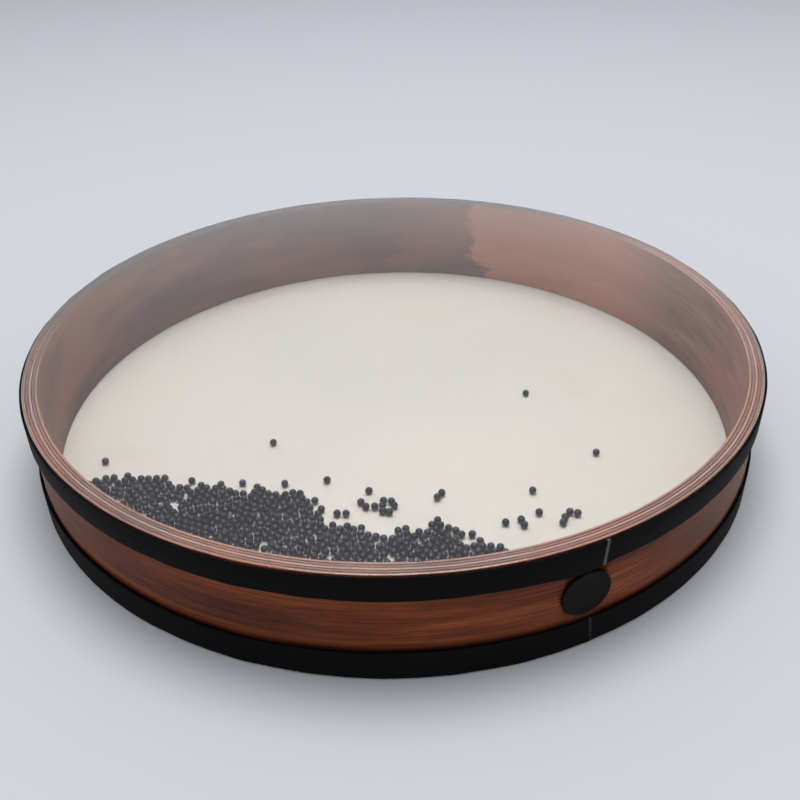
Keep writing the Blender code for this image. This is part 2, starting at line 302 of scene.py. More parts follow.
def parts_of(tree, coordinates):
    """The X, Y and Z of some coordinates as three outputs."""
    return add(tree, "ShaderNodeSeparateXYZ", {0: coordinates}).outputs


def bump(tree, shader, height, distance, strength):
    """Relief that only the light sees, for grain that is too fine to be modelled."""
    made = add(tree, "ShaderNodeBump", {"Height": height, "Distance": distance, "Strength": strength})
    tree.links.new(made.outputs["Normal"], shader.inputs["Normal"])


print("helpers for materials, noise, colours by value and fine relief")

# %% [markdown]
# ## Stained wood
# The hoop's two faces are a red-brown stain over a veneer whose grain runs round the drum. A photograph
# of wood could be wrapped round it. Noise that is stretched along the hoop never repeats, and needs no
# picture: slow bands for the figure, fine streaks for the fibres, and short dark dashes for the pores.
# Just above the lower band the outer face is darker, with a faint paler line over that, and the stain is
# paler and greyer to the right. Inside, the back wall is grey on the left, with a ragged border to a warmer
# veneer on the right.
# %% Stained wood
LOWER_BAND_TOP = 0.0165
DARK_STRIP_TOP = 0.0190
PALE_LINE_LOW = 0.0192
PALE_LINE_MIDDLE = (0.0206, 0.0208)
PALE_LINE_HIGH = 0.0225
GREYING = (0.02, 0.15)
FIGURE_BORDER = (0.129, 0.134)
FIGURE_WANDER = 0.05
BACK_WALL = (-0.02, 0.06)


def stained_wood(name, dark, middle, light, add_marks):
    """A satin stain over grain that runs along the hoop. add_marks lays the face's own marks over it."""
    material, tree, shader = new_material(name, Specular_IOR_Level=0.12)
    coordinates = add(tree, "ShaderNodeTexCoord")
    wrap = coordinates.outputs["UV"]
    parts = parts_of(tree, coordinates.outputs["Object"])
    figure = stretched_noise(tree, wrap, (7.0, 55.0, 1.0), 5.0, 0.62)
    colour = ramp(tree, figure, [(0.30, dark), (0.50, middle), (0.72, light)])
    fibres = stretched_noise(tree, wrap, (22.0, 900.0, 1.0), 3.0, 0.7, (3.1, 0, 0))
    fibre_tone = ramp(tree, fibres, [(0.34, (0.36, 0.32, 0.28, 1)), (0.60, (1.12, 1.12, 1.1, 1))])
    colour = mix(tree, 0.7, colour, fibre_tone, "MULTIPLY")
    pores = fade(tree, stretched_noise(tree, wrap, (160.0, 2600.0, 1.0), 2.0, 0.5, (0, 5.0, 0)), 0.60, 0.70)
    colour = mix(tree, times(tree, pores, 0.55), colour, dark)
    tree.links.new(add_marks(tree, colour, wrap, parts), shader.inputs["Base Color"])
    rough = add(tree, "ShaderNodeMapRange", {"Value": figure, "To Min": 0.34, "To Max": 0.55})
    tree.links.new(rough.outputs[0], shader.inputs["Roughness"])
    bump(tree, shader, maths(tree, "SUBTRACT", fibres, pores), 0.00012, 0.5)
    return material


def outside_marks(tree, colour, wrap, parts):
    """The darker strip above the lower band with a faint paler line over it, and the paler, greyer stretch to
    the right.
    """
    # The outer face is darker in a strip just above the lower band, with a faint paler line over it.
    dark_strip = fade(tree, parts["Z"], DARK_STRIP_TOP, LOWER_BAND_TOP)
    colour = mix(tree, times(tree, dark_strip, 0.72), colour, linear(44, 14, 10))
    below = fade(tree, parts["Z"], PALE_LINE_HIGH, PALE_LINE_MIDDLE[1])
    above = fade(tree, parts["Z"], PALE_LINE_LOW, PALE_LINE_MIDDLE[0])
    line = times(tree, below, above)
    colour = mix(tree, times(tree, line, 0.14), colour, linear(176, 104, 60))
    right = fade(tree, parts["X"], *GREYING)
    return mix(tree, times(tree, right, 0.45), colour, linear(122, 92, 78))


def inside_marks(tree, colour, wrap, parts):
    """A grey stain on the left of the back wall, with a ragged border to a warmer veneer on the right."""
    border = stretched_noise(tree, wrap, (16.0, 38.0, 1.0), 5.0, 0.6, (1.7, 2.0, 0))
    wander = times(tree, maths(tree, "SUBTRACT", border, 0.5), FIGURE_WANDER)
    warm = fade(tree, maths(tree, "ADD", parts["X"], wander), *FIGURE_BORDER)
    back = fade(tree, parts["Y"], *BACK_WALL)
    grey = mix(tree, times(tree, back, 0.6), colour, linear(92, 72, 74))
    patches = fade(tree, stretched_noise(tree, wrap, (9.0, 24.0, 1.0), 3.0, 0.55, (7.3, 1.0, 0)), 0.42, 0.62)
    grey = mix(tree, times(tree, patches, 0.5), grey, linear(150, 96, 70))
    bright = mix(tree, 0.6, colour, linear(204, 138, 104))
    return mix(tree, times(tree, warm, back), grey, bright)


outer_wood = stained_wood(
    "outer_wood", linear(66, 28, 14), linear(112, 54, 27), linear(150, 82, 44), outside_marks)
inner_wood = stained_wood(
    "inner_wood", linear(74, 40, 30), linear(124, 76, 56), linear(160, 106, 80), inside_marks)
print("two stained faces:", outer_wood.name, "and", inner_wood.name)

# %% [markdown]
# ## Plywood edge
# The sawn top edge shows the plies as thin concentric lines, in turn pale and dark as the grain turns
# from ply to ply. The stain is wiped off there, so the wood is pinkish, with streaks along the hoop and
# dark specks. One ring texture could draw all the lines. Here each ply has its own tint, because each is
# a piece of its own.
# %% Plywood edge
EDGE_PAINTED_SHADE = (-0.04, 0.17)


def tinted(tint, factor):
    """A colour made lighter or darker by a factor."""
    return tuple(min(1.0, factor * value) for value in tint[:3]) + (1,)


def edge_wood(name, tint):
    """Sawn wood in one tint, with streaks, specks and a reddish blush, and painted shade that darkens it
    towards the back.
    """
    material, tree, shader = new_material(name, Roughness=0.5, Specular_IOR_Level=0.35)
    coordinates = add(tree, "ShaderNodeTexCoord")
    wrap = coordinates.outputs["UV"]
    streaks = stretched_noise(tree, wrap, (30.0, 2200.0, 1.0), 4.0, 0.65)
    colour = ramp(tree, streaks, [(0.28, tinted(tint, 0.42)), (0.52, tint), (0.75, tinted(tint, 1.45))])
    specks = fade(tree, stretched_noise(tree, wrap, (420.0, 2600.0, 1.0), 2.0, 0.6, (2.0, 0, 0)), 0.60, 0.68)
    colour = mix(tree, times(tree, specks, 0.6), colour, linear(70, 52, 50))
    blush = fade(tree, stretched_noise(tree, wrap, (14.0, 120.0, 1.0), 2.0, 0.5, (5.0, 0, 0)), 0.40, 0.65)
    colour = mix(tree, times(tree, blush, 0.35), colour, linear(168, 96, 72))
    parts = parts_of(tree, coordinates.outputs["Object"])
    # Painted shade: the sawn edge is made darker towards the back of the drum.
    colour = mix(tree, fade(tree, parts["Y"], *EDGE_PAINTED_SHADE), colour, linear(58, 44, 42))
    tree.links.new(colour, shader.inputs["Base Color"])
    bump(tree, shader, streaks, 0.0001, 0.5)
    return material


edge_materials = [
    edge_wood("edge_outer", linear(150, 104, 88)),
    edge_wood("edge_dark_1", linear(112, 86, 80)),
    edge_wood("edge_pale", linear(168, 132, 116)),
    edge_wood("edge_dark_2", linear(118, 92, 88)),
    edge_wood("edge_inner", linear(158, 118, 100)),
]
print(len(edge_materials), "tints of sawn wood")

# %% [markdown]
# ## The hoop
# Five plies, each a closed strip with a small rounded arris at its four corners. A Bevel modifier could
# round them, but the outline has its round corners from the start, so each can be worn or nicked. The
# plies stand a hair apart, where the glue is, and the inner one has a nicked upper edge from trimming. A
# Boolean with a cylinder cuts the filling port through all of them, so that it is a real hole when the
# plug is pulled.
# %% Make the plies
PLY_COUNT = 5
HOOP_STEPS = 480
ARRIS = 0.00035
ARRIS_POINTS = 4
WEAR_DEPTH = 0.00006
WEAR_WAVES = [(23, 0.5), (41, 0.5)]
NICK_REACH = 0.00022
NICK_DEPTH = 0.00025
NICK_LEVEL = 0.7
NICK_SEED = 11
NICK_WAVES = [(37, 0.5), (61, 0.4), (97, 0.35), (151, 0.3)]
PORT_RADIUS = 0.010
PORT_HEIGHT = float(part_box("port_plug")[0][2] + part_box("port_plug")[1][2]) / 2
PORT_SIDES = 64
CUT_REACH = 0.03


def rounded_outline(inner, outer, low, high, corner, points):
    """A rectangle with round corners as (radius, height), anticlockwise from its lower outer corner."""
    angles = np.linspace(0, math.pi / 2, points)
    centres = (
        (outer - corner, low + corner, -math.pi / 2),
        (outer - corner, high - corner, 0.0),
        (inner + corner, high - corner, math.pi / 2),
        (inner + corner, low + corner, math.pi),
    )
    outline = [
        (x + corner * math.cos(start + angle), z + corner * math.sin(start + angle))
        for x, z, start in centres for angle in angles
    ]
    return np.array(outline)


def carried_round(outline, steps):
    """The azimuth of each step, and the outline's radius and height repeated at every one of them."""
    azimuth = FULL_TURN * np.arange(steps)[:, None] / steps - math.pi
    radius = np.broadcast_to(outline[:, 0], (steps, len(outline))).copy()
    height = np.broadcast_to(outline[:, 1], (steps, len(outline))).copy()
    return azimuth, radius, height


def lay_along_port(piece, start):
    """Lays a piece that stands on the Z axis along the port: (x, y, z) goes to (x, start - z, height + y)."""
    points = np.empty(len(piece.data.vertices) * 3)
    piece.data.vertices.foreach_get("co", points)
    points = points.reshape(-1, 3)
    laid = np.stack([points[:, 0], start - points[:, 2], PORT_HEIGHT + points[:, 1]], axis=-1)
    piece.data.vertices.foreach_set("co", laid.reshape(-1))
    piece.data.update()


def make_port_cutter():
    """A cylinder along Y, longer than the wall is thick."""
    profile = [(0, CUT_REACH), (PORT_RADIUS, CUT_REACH), (PORT_RADIUS, -CUT_REACH), (0, -CUT_REACH)]
    cutter = turned("port_cutter", profile, PORT_SIDES)
    lay_along_port(cutter, -HOOP_RADIUS)
    return cutter


def apply_modifiers(piece):
    """Replaces the mesh by what its modifiers make of it."""
    graph = bpy.context.evaluated_depsgraph_get()
    finished = bpy.data.meshes.new_from_object(piece.evaluated_get(graph))
    piece.modifiers.clear()
    piece.data = finished


def make_ply(number, cutter):
    """A ring of a rounded rectangle with worn upper edges, stained on its faces and sawn at its edges."""
    outer = HOOP_RADIUS - number * PLY_PITCH
    inner = outer - PLY_THICKNESS
    outline = rounded_outline(inner, outer, HOOP_LOW, HOOP_HIGH, ARRIS, ARRIS_POINTS)
    azimuth, radius, height = carried_round(outline, HOOP_STEPS)
    is_top = outline[:, 1] > MIDDLE_HEIGHT
    is_inmost = number == PLY_COUNT - 1
    if is_inmost:
        is_nicked = is_top & (outline[:, 0] < (inner + outer) / 2)
        nicks = np.clip(np.abs(waves(azimuth, NICK_SEED, NICK_WAVES)) - NICK_LEVEL, 0, 1)
        radius += is_nicked * NICK_REACH * nicks
        height -= is_nicked * NICK_DEPTH * nicks
    else:
        height -= is_top * WEAR_DEPTH * (1 + waves(azimuth, number, WEAR_WAVES))
    ply = ring(f"ply_{number + 1}", radius, height)
    ply.data.materials.append(outer_wood if number == 0 else inner_wood)
    ply.data.materials.append(edge_materials[number])
    normals = np.empty(len(ply.data.polygons) * 3)
    ply.data.polygons.foreach_get("normal", normals)
    is_edge = np.abs(normals.reshape(-1, 3)[:, 2]) > 0.5
    ply.data.polygons.foreach_set("material_index", is_edge.astype(np.int32))
    cut = ply.modifiers.new("port", "BOOLEAN")
    cut.object = cutter
    cut.solver = "EXACT"
    apply_modifiers(ply)
    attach(ply, "drum")
    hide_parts(f"hoop_ply_{number + 1}")
    return ply


port_cutter = make_port_cutter()
plies = [make_ply(number, port_cutter) for number in range(PLY_COUNT)]
bpy.data.objects.remove(port_cutter, do_unlink=True)
print("hoop:", sum(len(ply.data.polygons) for ply in plies), "faces in", len(plies), "plies")

# %% [markdown]
# ## The two films
# Each head is one sheet of film, flat over the hoop and turned down over its edge under the band. A cloth
# simulation could pull it tight, but a tight film is flat, so a turned profile is enough. A clear film
# that is seen at a low angle is mostly a mirror: the pale room in it lifts the dark wall behind. So it is
# a real clear plastic with two surfaces, and for shadows alone the light passes straight through it.
# %% Make the heads
FILM_STEPS = 480
SHOULDER = 0.0006
SHOULDER_POINTS = 6
COLLAR_LENGTH = 0.011
SKIN = FILM * 0.9


def clear_plastic():
    """Clear plastic that casts only a faint shadow."""
    material, tree, shader = new_material(
        "clear_film", Base_Color=(1, 1, 1, 1), Roughness=0.02, IOR=1.5, Transmission_Weight=1.0)
    light_path = add(tree, "ShaderNodeLightPath")
    through = add(tree, "ShaderNodeBsdfTransparent", {"Color": (0.93, 0.94, 0.94, 1)})
    both = add(tree, "ShaderNodeMixShader", {
        0: light_path.outputs["Is Shadow Ray"], 1: shader.outputs[0], 2: through.outputs[0]})
    tree.links.new(both.outputs[0], tree.nodes["Material Output"].inputs["Surface"])
    return material


def ivory_plastic():
    """Milky film with faint clouds, warm smudges and tiny specks."""
    material, tree, shader = new_material("ivory_film", Roughness=0.5, Specular_IOR_Level=0.3)
    place = add(tree, "ShaderNodeTexCoord").outputs["Object"]
    clouds = stretched_noise(tree, place, (5.0, 5.0, 5.0), 3.0, 0.5)
    colour = ramp(tree, clouds, [(0.35, linear(195, 190, 184)), (0.65, linear(201, 195, 187))])
    warm = fade(tree, stretched_noise(tree, place, (11.0, 17.0, 10.0), 4.0, 0.6, (4.0, 1.0, 0)), 0.56, 0.72)
    colour = mix(tree, times(tree, warm, 0.3), colour, linear(196, 182, 162))
    specks = fade(tree, stretched_noise(tree, place, (700.0, 700.0, 700.0), 1.0, 0.5), 0.72, 0.76)
    colour = mix(tree, times(tree, specks, 0.4), colour, linear(150, 138, 124))
    tree.links.new(colour, shader.inputs["Base Color"])
    bump(tree, shader, clouds, 0.0002, 0.2)
    return material


def fix_normals(piece):
    """Turns every face outwards."""
    shape = bmesh.new()
    shape.from_mesh(piece.data)
    bmesh.ops.recalc_face_normals(shape, faces=shape.faces)
    shape.to_mesh(piece.data)
    shape.free()


def make_head(name, is_top, material, nodes):
    """A pan of film: out from the middle, round the shoulder, along the collar and back on its inner side."""
    angles = np.linspace(math.pi / 2, 0, SHOULDER_POINTS)
    bend = FILM_RADIUS - SHOULDER
    inside = SHOULDER - SKIN
    outer = [(bend + SHOULDER * math.cos(a), SHOULDER * math.sin(a) - SHOULDER) for a in angles]
    inner = [(bend + inside * math.cos(a), inside * math.sin(a) - SHOULDER) for a in angles[::-1]]
    profile = [
        (0, 0), (FILM_RADIUS * 0.5, 0), *outer, (FILM_RADIUS, -COLLAR_LENGTH),
        (FILM_RADIUS - SKIN, -COLLAR_LENGTH), *inner, (FILM_RADIUS * 0.5, -SKIN), (0, -SKIN),
    ]
    if is_top:
        profile = [(radius, DRUM_HEIGHT + depth) for radius, depth in profile]
    else:
        profile = [(radius, -depth) for radius, depth in reversed(profile)]
    head = turned(name, profile, FILM_STEPS)
    fix_normals(head)
    head.data.materials.append(material)
    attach(head, "drum")
    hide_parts(*nodes)
    return head


heads = [
    make_head("clear_skin", True, clear_plastic(), ("top_head", "top_head_collar")),
    make_head("ivory_skin", False, ivory_plastic(), ("bottom_head", "bottom_head_collar")),
]
print("two films:", [len(head.data.polygons) for head in heads], "faces")

# %% [markdown]
# ## The black bands
# A strip of black tape is wound over each turned-down edge. Its edges wander by a few tenths of a
# millimetre, the upper one hangs down a little over the plug, and its two ends meet beside the filling
# port, where some glue has dried grey. A curve with a bevel could carry the strip. As a ring it can thin
# out away from its lap, and its material finds the seam by its place on the drum.
# %% Make the bands
BAND_STEPS = 960
BAND_CORNER = 0.00045
BAND_CORNER_POINTS = 5
BAND_INSIDE_GAP = 0.00012
BAND_OUTSIDE_GAP = 0.00002
BAND_WANDER = 0.0003
BAND_LEVEL = 0.9
LOW_EDGE = (5, [(7, 0.5), (19, 0.35), (43, 0.3), (83, 0.2)])
HIGH_EDGE = (6, [(9, 0.4), (31, 0.3), (71, 0.2)])
FACE_RELIEF = 0.00006
FACE = (9, [(27, 0.5), (53, 0.4)])
LAP_STEP = 0.00022
LAP_FADE = 0.03
SEAM_TOP = math.radians(-88.3)
SEAM_BOTTOM = math.radians(-89.6)
SEAM_FRONT = (-0.19, -0.2)
SEAM_WANDER = 0.0012


def band_black(name, seam_azimuth, seam_slant, smear_colour, smear_width, strength):
    """Matt black tape with a smear of dry glue along its slanting seam."""
    material, tree, shader = new_material(name, Roughness=0.62, Specular_IOR_Level=0.05)
    coordinates = add(tree, "ShaderNodeTexCoord")
    wrap = coordinates.outputs["UV"]
    cloth = stretched_noise(tree, wrap, (260.0, 900.0, 1.0), 3.0, 0.6)
    scuffs = stretched_noise(tree, wrap, (12.0, 160.0, 1.0), 3.0, 0.55, (2.5, 0, 0))
    colour = ramp(tree, scuffs, [(0.35, linear(8, 8, 9)), (0.7, linear(14, 13, 15))])
    parts = parts_of(tree, coordinates.outputs["Object"])
    from_seam = maths(tree, "SUBTRACT", parts["X"], BAND_RADIUS * math.cos(seam_azimuth))
    lean = times(tree, maths(tree, "SUBTRACT", parts["Z"], MIDDLE_HEIGHT), seam_slant)
    wander = times(tree, maths(tree, "SUBTRACT", cloth, 0.5), SEAM_WANDER)
    off = maths(tree, "ABSOLUTE", maths(tree, "ADD", from_seam, maths(tree, "ADD", lean, wander)))
    front = fade(tree, parts["Y"], *SEAM_FRONT)
    smear = times(tree, fade(tree, off, smear_width, smear_width * 0.3), front)
    colour = mix(tree, times(tree, smear, strength), colour, smear_colour)
    tree.links.new(colour, shader.inputs["Base Color"])
    bump(tree, shader, cloth, 0.00008, 0.35)
    return material


def make_band(name, node, seam, drop, dips, material):
    """A ring of a rounded strip whose edges wander and whose face steps down away from its lap.

    drop lowers the lower and the upper edge. A dip is (azimuth, width, depth) of a place where the lower edge
    hangs down, as a bell curve of the azimuth.
    """
    low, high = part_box(node)[0][2] - drop[0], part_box(node)[1][2] - drop[1]
    inner, outer = FILM_RADIUS + BAND_INSIDE_GAP, BAND_RADIUS - BAND_OUTSIDE_GAP
    outline = rounded_outline(inner, outer, low, high, BAND_CORNER, BAND_CORNER_POINTS)
    azimuth, radius, height = carried_round(outline, BAND_STEPS)
    is_low = outline[:, 1] < (low + high) / 2
    is_outer = outline[:, 0] > (FILM_RADIUS + BAND_RADIUS) / 2
    height += is_low * BAND_WANDER * (BAND_LEVEL + waves(azimuth, *LOW_EDGE))
    height -= ~is_low * BAND_WANDER * (BAND_LEVEL + waves(azimuth, *HIGH_EDGE))
    for place, width, depth in dips:
        height -= is_low * depth * np.exp(-(((azimuth - place) / width) ** 2))
    turn = (azimuth - seam + math.pi) % FULL_TURN - math.pi
    lap = np.where(turn > 0, np.exp(-turn / LAP_FADE), 0.0)
    radius -= is_outer * LAP_STEP * (1 - lap)
    radius -= is_outer * FACE_RELIEF * (1 + waves(azimuth, *FACE))
    band = ring(name, radius, height)
    band.data.materials.append(material)
    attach(band, "drum")
    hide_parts(node)
    return band


upper_tape = band_black("upper_tape", SEAM_TOP, -0.05, linear(96, 98, 100), 0.0011, 0.8)
lower_tape = band_black("lower_tape", SEAM_BOTTOM, 0.12, linear(58, 59, 62), 0.0008, 0.6)
over_the_plug = (math.radians(-91.5), 0.07, 0.0019)
make_band("upper_band", "top_band", SEAM_TOP, (0.0007, 0.0), [over_the_plug], upper_tape)
make_band("lower_band", "bottom_band", SEAM_BOTTOM, (0.0, 0.0003), [], lower_tape)
print("two bands, seams at", round(math.degrees(SEAM_TOP), 1), "and", round(math.degrees(SEAM_BOTTOM), 1))

# %% [markdown]
# ## The plug
# A flat round plug of black rubber closes the filling port. Its head has a soft edge and a faint dish,
# and its hollow skirt reaches through the wall. It could be a cylinder with bevels and an inset. One
# profile holds all of that, turned about its own axis and then laid along the port.
# %% Make the plug
PLUG_SIDES = 96
PLUG_SHARP_ANGLE = math.radians(50)
PLUG_SEAT = 0.0001
PLUG_CLEARANCE = 0.0003
PLUG_WALL = 0.0012
PLUG_SOFT = 0.0006
PLUG_SOFT_POINTS = 6
PLUG_BORE_DEPTH = 0.0009
DISH_DEPTH = 0.0002


def satin_rubber():
    """Black rubber with a fine grain and a little dust."""
    material, tree, shader = new_material("plug_rubber", Roughness=0.45, Specular_IOR_Level=0.06)
    place = add(tree, "ShaderNodeTexCoord").outputs["Object"]
    grain = stretched_noise(tree, place, (900.0, 900.0, 900.0), 2.0, 0.6)
    dust = stretched_noise(tree, place, (120.0, 120.0, 240.0), 3.0, 0.6, (1.0, 2.0, 0))
    colour = ramp(tree, dust, [(0.4, linear(10, 10, 11)), (0.75, linear(18, 17, 19))])
    tree.links.new(colour, shader.inputs["Base Color"])
    bump(tree, shader, grain, 0.00004, 0.4)
    return material


def make_plug():
    """A profile from the middle of the face, out over its soft edge, down the skirt and up the bore."""
    low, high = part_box("port_plug")
    face = float(-low[1])
    tip = float(-high[1])
    head = float(high[0] - low[0]) / 2
    under = HOOP_RADIUS + PLUG_SEAT
    skirt = PORT_RADIUS - PLUG_CLEARANCE
    bore = skirt - PLUG_WALL
    bore_end = HOOP_RADIUS - PLUG_BORE_DEPTH
    dish = [
        (0, face - DISH_DEPTH),
        (head * 0.5, face - 0.7 * DISH_DEPTH),
        (head - 0.0021, face - 0.5 * DISH_DEPTH),
        (head - 0.0017, face - 0.2 * DISH_DEPTH),
    ]
    edge = [
        (head - PLUG_SOFT + PLUG_SOFT * math.sin(a), face - PLUG_SOFT + PLUG_SOFT * math.cos(a))
        for a in np.linspace(0, math.pi / 2, PLUG_SOFT_POINTS)
    ]
    rim = [(head, under + 0.0002), (head - 0.0002, under), (skirt, under)]
    legs = [(skirt, tip + 0.001), (skirt - 0.0004, tip), (bore + 0.0003, tip), (bore, tip + 0.0004)]
    profile = [*dish, *edge, *rim, *legs, (bore, bore_end), (0, bore_end)]
    plug = turned("plug", profile, PLUG_SIDES, PLUG_SHARP_ANGLE)
    lay_along_port(plug, 0.0)
    fix_normals(plug)
    plug.data.materials.append(satin_rubber())
    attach(plug, "port_plug")
    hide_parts("port_plug")
    return plug


plug = make_plug()
print("plug:", len(plug.data.polygons), "faces")

# %% [markdown]
# ## Where the beads lie
# About 1250 dark steel balls lie on the lower film in one layer, nearly all against the near wall. A
# rigid body simulation could roll them there, but it is slow for so many. Instead their places start on a
# honeycomb that is shaken, and balls that would overlap then push each other apart, as real ones do.
# Towards the edge of the heap more and more are missing. No ball of the heap lies in a lane along which a
# loose one rolls.
# %% Place the beads
BEAD_RADIUS = 0.002
BEAD_LIFT = 0.00002
BEAD_HEIGHT = FILM + BEAD_RADIUS + BEAD_LIFT
BEAD_SPACING = 0.00406
WALL_ROOM = 0.0003
LANE_ROOM = 0.0046
HONEYCOMB_SPREAD = 1.075
HONEYCOMB_TURN = math.radians(17)
SHAKE = 0.0019
PUSHES = 160
HEAP_SEED = 4
EDGE_FADE = 0.014
EDGE_CHANCE = 0.2
HEAP_CHANCE = 0.99
EDGE_SPARE = 0.002
NO_DIVISION_BY_ZERO = 1e-12
# How far the heap reaches in from the wall: (azimuth in degrees, millimetres).
HEAP_EDGE = (
    (-184, 2), (-180, 37), (-177, 55), (-170, 66), (-163, 86), (-156, 91), (-147, 100), (-136, 99),
    (-132, 88), (-118, 88), (-109, 88), (-101, 92), (-97, 74), (-90, 64), (-80, 38), (-70, 5),
)
# Balls that lie against a loose one and roll with it, as (x, y) in millimetres.
COMPANIONS = {
    "loose_bead_08": ((16.8, -125.0),),
    "loose_bead_21": ((43.0, -126.1),),
    "loose_bead_20": ((-36.6, -79.7), (-41.0, -87.1)),
    "loose_bead_17": ((-50.3, -78.0),),
}


def azimuth_of(places):
    """The azimuth of each place in degrees, from -270 to 90, so that the heap lies in one stretch."""
    azimuth = np.degrees(np.arctan2(places[:, 1], places[:, 0]))
    return np.where(azimuth > 90, azimuth - 360, azimuth)


def reach_at(places):
    """How far in from the wall the heap reaches at the azimuth of each place. Off the heap it is negative."""
    edge = np.array(HEAP_EDGE)
    reach = np.interp(azimuth_of(places), edge[:, 0], edge[:, 1] / 1000, left=-1, right=-1)
    return reach + EDGE_SPARE


def keep_inside(places):
    """Whether a place is within the heap and clear of every lane along which a loose ball rolls."""
    radius = np.hypot(*places.T)
    offset = places[:, None] - lane_starts[None]
    length = (lane_ways ** 2).sum(-1) + NO_DIVISION_BY_ZERO
    share = np.clip((offset * lane_ways[None]).sum(-1) / length, 0, 1)
    room = np.linalg.norm(offset - share[..., None] * lane_ways[None], axis=-1).min(axis=1)
    in_heap = WALL_RADIUS - radius < reach_at(places)
    return in_heap & (radius < WALL_RADIUS - BEAD_RADIUS) & (room > LANE_ROOM)


def push_apart(places):
    """Moves each ball of a pair that overlaps by half their overlap, away from the other."""
    apart = places[:, None] - places[None]
    distance = np.sqrt((apart ** 2).sum(-1)) + np.eye(len(places))
    overlap = np.clip(BEAD_SPACING - distance, 0, None)
    return places + 0.5 * (apart / distance[..., None] * overlap[..., None]).sum(1)


def heap_places():
    """Centres of the heap's balls: a shaken honeycomb inside the heap's outline, then pushed apart."""
    random = np.random.default_rng(HEAP_SEED)
    spacing = BEAD_SPACING * HONEYCOMB_SPREAD
    count = int(2 * WALL_RADIUS / spacing)
    column, row = np.meshgrid(np.arange(-count, count), np.arange(-count, count))
    x = (column + (row % 2) / 2).ravel() * spacing
    y = row.ravel() * spacing * math.sqrt(3) / 2
    cosine, sine = math.cos(HONEYCOMB_TURN), math.sin(HONEYCOMB_TURN)
    places = np.stack([x * cosine - y * sine, x * sine + y * cosine], axis=-1)
    places = places[keep_inside(places)]
    places += random.normal(0, SHAKE, places.shape)
    for _ in range(PUSHES):
        places = push_apart(places)
        radius = np.hypot(*places.T)
        places *= (np.minimum(radius, WALL_RADIUS - BEAD_RADIUS - WALL_ROOM) / radius)[:, None]
    from_edge = reach_at(places) - (WALL_RADIUS - np.hypot(*places.T))
    chance = np.clip(EDGE_CHANCE + from_edge / EDGE_FADE, 0, HEAP_CHANCE)
    places = places[random.uniform(size=len(places)) < chance]
    return places[keep_inside(places)]


loose_names = sorted(name for name in frame["nodes"] if name.startswith("loose_bead"))
loose_boxes = np.array([[list(corner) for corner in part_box(name)] for name in loose_names])
loose_places = {name: [centre[:2]] for name, centre in zip(loose_names, loose_boxes.mean(axis=1))}
for name, companions in COMPANIONS.items():
    loose_places[name] += [np.array(place) / 1000 for place in companions]
rolls = {
    joint["child"]: np.array(joint["axis"][:2]) * joint["range_m"][1]
    for joint in frame["joints"] if joint["child"] in loose_places
}
lane_starts = np.array([place for name in loose_names for place in loose_places[name]])
lane_ways = np.array([rolls[name] for name in loose_names for place in loose_places[name]])
heap = heap_places()
print("heap of", len(heap), "beads, with", len(lane_starts), "beads in", len(loose_names), "lanes beside it")

# %% [markdown]
# ## The beads
# The balls are ground steel with a dark temper colour. A small soft highlight on each comes from a low
# roughness, and slow noise over the whole heap makes some a touch bluer than others. Instances of one
# ball would save memory, but one mesh for each part of the heap takes the place of that part's solid, and
# a ball of eighty faces costs little.
# %% Make the beads
HEAP_PIECES = 6
HEAP_SUBDIVISIONS = 2
LOOSE_SUBDIVISIONS = 3
# Single balls beside the heap that move with it, as (x, y) in millimetres.
STRAYS = ((-61.6, -78.8), (-43.9, -85.0), (-42.2, -81.0))


def ball(subdivisions):
    """Points and triangles of a ball of radius 1: an icosahedron whose faces are split and pushed out."""
    shape = bmesh.new()
    bmesh.ops.create_icosphere(shape, subdivisions=subdivisions, radius=1.0)
    mesh = bpy.data.meshes.new("ball")
    shape.to_mesh(mesh)
    shape.free()
    points = np.empty(len(mesh.vertices) * 3)
    mesh.vertices.foreach_get("co", points)
    corners = np.empty(len(mesh.loops), np.int32)
    mesh.loops.foreach_get("vertex_index", corners)
    bpy.data.meshes.remove(mesh)
    return points.reshape(-1, 3), corners.reshape(-1, 3)


def dark_steel():
    """Dark metal whose tone drifts over the heap."""
    material, tree, shader = new_material("dark_steel", Metallic=0.9, Roughness=0.33)
    place = add(tree, "ShaderNodeTexCoord").outputs["Object"]
    tone = stretched_noise(tree, place, (160.0, 160.0, 160.0), 1.0, 0.5)
    colour = ramp(tree, tone, [(0.3, linear(44, 46, 54)), (0.7, linear(68, 71, 82))])
    tree.links.new(colour, shader.inputs["Base Color"])
    return material


def make_balls(name, places, subdivisions, body, nodes):
    """One mesh of balls that lie on the lower film: every point of a ball, added to every centre."""
    points, faces = ball(subdivisions)
    centres = np.column_stack([places, np.full(len(places), BEAD_HEIGHT)])
    spots = centres[:, None, :] + BEAD_RADIUS * points[None]
    triangles = faces[None] + len(points) * np.arange(len(centres))[:, None, None]
    piece = add_mesh(name, spots, triangles.reshape(-1, 3).tolist())
    piece.data.materials.append(bead_steel)
    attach(piece, body)
    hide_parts(*nodes)
    return piece


bead_steel = dark_steel()
heap = np.concatenate([heap, np.array(STRAYS) / 1000])
first, last = HEAP_EDGE[0][0], HEAP_EDGE[-1][0]
share = (azimuth_of(heap) - first) / (last - first)
piece_number = np.clip(HEAP_PIECES * share, 0, HEAP_PIECES - 1).astype(int)
for number in range(HEAP_PIECES):
    make_balls(
        f"heap_beads_{number + 1}", heap[piece_number == number], HEAP_SUBDIVISIONS,
        "bead_heap", [f"bead_heap_{number + 1}"])
for name, places in loose_places.items():
    make_balls(name.replace("loose_bead", "single_bead"), np.array(places), LOOSE_SUBDIVISIONS, name, [name])
print("beads in", HEAP_PIECES, "pieces of the heap and", len(loose_places), "loose pieces")
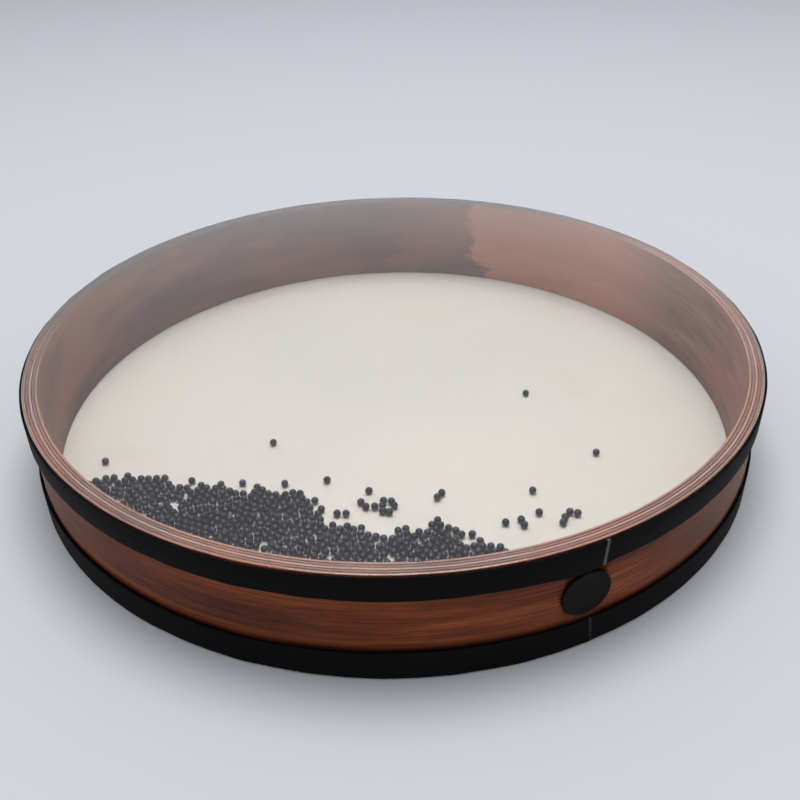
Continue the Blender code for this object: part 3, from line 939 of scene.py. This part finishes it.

# %% [markdown]
# ## Floor and light
# The drum lies on a pale sweep in a soft studio. A curved backdrop could close the view, but the camera looks
# down, so a wide floor fills it. The floor is darker and bluer far away, which is painted shade: a gradient
# in its colour gives it. The light is a pale sky, a little darker halfway up, and one large soft lamp nearly
# overhead. The lamp stands so high that the clear film doesn't mirror it towards the camera.
# %% Floor, sky and lamp
FLOOR_SIZE = 8.0
FLOOR_DROP = 0.00005
FLOOR_NEAR = -0.5
FLOOR_FAR = 2.0
SKY_STRENGTH = 1.1
LAMP_AZIMUTH = math.radians(60)
LAMP_ELEVATION = math.radians(80)
LAMP_DISTANCE = 2.2
LAMP_SIZE = 1.2
LAMP_POWER = 23


def make_floor():
    """A square under the drum whose colour darkens and turns bluer, as painted shade, with the distance away
    from the camera.
    """
    corners = FLOOR_SIZE / 2 * np.array([[-1.0, -1, 0], [1, -1, 0], [1, 1, 0], [-1, 1, 0]])
    corners[:, 2] = -FLOOR_DROP
    floor = add_mesh("floor", corners, [[0, 1, 2, 3]])
    material, tree, shader = new_material("sweep", Roughness=0.85, Specular_IOR_Level=0.1)
    place = add(tree, "ShaderNodeTexCoord").outputs["Object"]
    direction = (-math.cos(CAMERA_AZIMUTH), -math.sin(CAMERA_AZIMUTH), 0)
    away = add(tree, "ShaderNodeVectorMath", {0: place, 1: direction}, operation="DOT_PRODUCT")
    depth = add(tree, "ShaderNodeMapRange", {
        "Value": away.outputs["Value"], "From Min": FLOOR_NEAR, "From Max": FLOOR_FAR})
    # Painted shade: the floor's colour is darker and bluer further from the camera.
    colour = ramp(tree, depth.outputs[0], [
        (0.0, linear(218, 221, 226)),
        (0.3, linear(212, 214, 220)),
        (0.6, linear(204, 206, 213)),
        (1.0, linear(190, 194, 200)),
    ])
    tree.links.new(colour, shader.inputs["Base Color"])
    floor.data.materials.append(material)


def make_sky():
    """A sky whose colour changes with height."""
    world = bpy.data.worlds.new("sky")
    bpy.context.scene.world = world
    world.use_nodes = True
    tree = world.node_tree
    up = parts_of(tree, add(tree, "ShaderNodeTexCoord").outputs["Generated"])["Z"]
    colour = ramp(tree, up, [
        (0.0, (0.62, 0.625, 0.64, 1)),
        (0.30, (0.56, 0.565, 0.58, 1)),
        (0.52, (0.38, 0.385, 0.40, 1)),
        (0.75, (0.45, 0.455, 0.47, 1)),
        (1.0, (0.7, 0.705, 0.72, 1)),
    ])
    background = tree.nodes["Background"]
    tree.links.new(colour, background.inputs["Color"])
    background.inputs["Strength"].default_value = SKY_STRENGTH


def make_lamp():
    """A round soft lamp that faces the drum."""
    data = bpy.data.lights.new("softbox", "AREA")
    data.shape = "DISK"
    data.size = LAMP_SIZE
    data.energy = LAMP_POWER
    lamp = bpy.data.objects.new("softbox", data)
    reach = LAMP_DISTANCE * math.cos(LAMP_ELEVATION)
    height = LAMP_DISTANCE * math.sin(LAMP_ELEVATION)
    lamp.location = (reach * math.cos(LAMP_AZIMUTH), reach * math.sin(LAMP_AZIMUTH), height)
    lamp.rotation_euler = (math.pi / 2 - LAMP_ELEVATION, 0, LAMP_AZIMUTH + math.pi / 2)
    bpy.context.scene.collection.objects.link(lamp)


make_floor()
make_sky()
make_lamp()
bpy.context.scene.view_settings.view_transform = "Standard"
print("a floor", FLOOR_SIZE, "m wide, a sky and one lamp")
